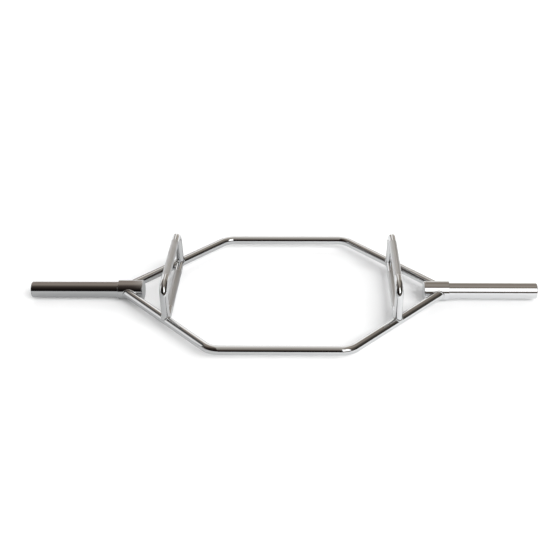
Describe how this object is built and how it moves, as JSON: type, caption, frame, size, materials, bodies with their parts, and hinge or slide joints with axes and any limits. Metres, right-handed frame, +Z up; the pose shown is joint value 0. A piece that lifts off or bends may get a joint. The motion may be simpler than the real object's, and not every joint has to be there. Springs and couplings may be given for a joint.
{
  "type": "hex trap bar",
  "caption": "Hexagonal lifting bar of chromed round steel with plain loading sleeves at both ends and low and raised hand grips inside the frame.",
  "frame": {"origin": "on the floor under the middle of the bar, where the undersides of the hubs rest", "axes": "+X along the sleeve axis to the right, +Y from the front straight to the rear straight, +Z up through the raised grips"},
  "size_m": [1.584, 0.648, 0.1555],
  "materials": {
    "chrome_bar": "bright chrome plate on bent solid bar",
    "chrome_tube": "bright chrome plate on turned tube",
    "chrome_grip": "chrome plate, fine diamond knurl on the gripping length",
    "chrome_weld": "chrome plate over a rippled weld bead"
  },
  "bodies": {
    "root": {"front_frame_bar": "chrome_bar", "rear_frame_bar": "chrome_bar", "left_hub_tube": "chrome_tube", "left_hub_end_disc": "chrome_tube", "left_sleeve_tube": "chrome_tube", "left_sleeve_end_plug": "chrome_tube", "left_raised_handle": "chrome_grip", "left_low_grip": "chrome_grip", "left_sleeve_weld": "chrome_weld", "left_front_hub_weld": "chrome_weld", "left_front_foot_weld": "chrome_weld", "left_front_grip_weld": "chrome_weld", "left_rear_hub_weld": "chrome_weld", "left_rear_foot_weld": "chrome_weld", "left_rear_grip_weld": "chrome_weld", "right_hub_tube": "chrome_tube", "right_hub_end_disc": "chrome_tube", "right_sleeve_tube": "chrome_tube", "right_sleeve_end_plug": "chrome_tube", "right_raised_handle": "chrome_grip", "right_low_grip": "chrome_grip", "right_sleeve_weld": "chrome_weld", "right_front_hub_weld": "chrome_weld", "right_front_foot_weld": "chrome_weld", "right_front_grip_weld": "chrome_weld", "right_rear_hub_weld": "chrome_weld", "right_rear_foot_weld": "chrome_weld", "right_rear_grip_weld": "chrome_weld"}
  },
  "joints": []
}
